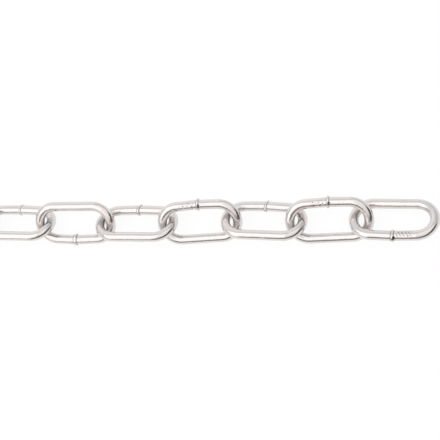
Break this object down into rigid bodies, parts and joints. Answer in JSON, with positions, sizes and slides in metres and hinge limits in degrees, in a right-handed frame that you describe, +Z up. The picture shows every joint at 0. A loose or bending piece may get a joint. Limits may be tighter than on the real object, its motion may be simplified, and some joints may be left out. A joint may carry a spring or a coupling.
{
  "type": "length of long-link steel chain",
  "caption": "Straight, laid-out length of welded long-link chain in round zinc-plated wire; oval links lean alternate ways, each with a butt weld in a long leg.",
  "frame": {"origin": "on the floor under the middle of the laid-out length", "axes": "+X along the chain to the end of link_01, +Y across it, +Z up from the floor"},
  "size_m": [0.9616, 0.0244, 0.0168],
  "materials": {
    "zinc_plated_steel": "bright zinc plating"
  },
  "bodies": {
    "root": {"link_01": "zinc_plated_steel", "link_02": "zinc_plated_steel", "link_03": "zinc_plated_steel", "link_04": "zinc_plated_steel", "link_05": "zinc_plated_steel", "link_06": "zinc_plated_steel", "link_07": "zinc_plated_steel", "link_08": "zinc_plated_steel", "link_09": "zinc_plated_steel", "link_10": "zinc_plated_steel", "link_11": "zinc_plated_steel", "link_12": "zinc_plated_steel", "link_13": "zinc_plated_steel", "link_14": "zinc_plated_steel", "link_15": "zinc_plated_steel", "link_16": "zinc_plated_steel", "link_17": "zinc_plated_steel", "link_18": "zinc_plated_steel", "link_19": "zinc_plated_steel", "link_20": "zinc_plated_steel", "link_21": "zinc_plated_steel", "link_22": "zinc_plated_steel", "link_23": "zinc_plated_steel", "link_24": "zinc_plated_steel", "link_25": "zinc_plated_steel", "link_26": "zinc_plated_steel", "link_27": "zinc_plated_steel", "link_28": "zinc_plated_steel"}
  },
  "joints": []
}
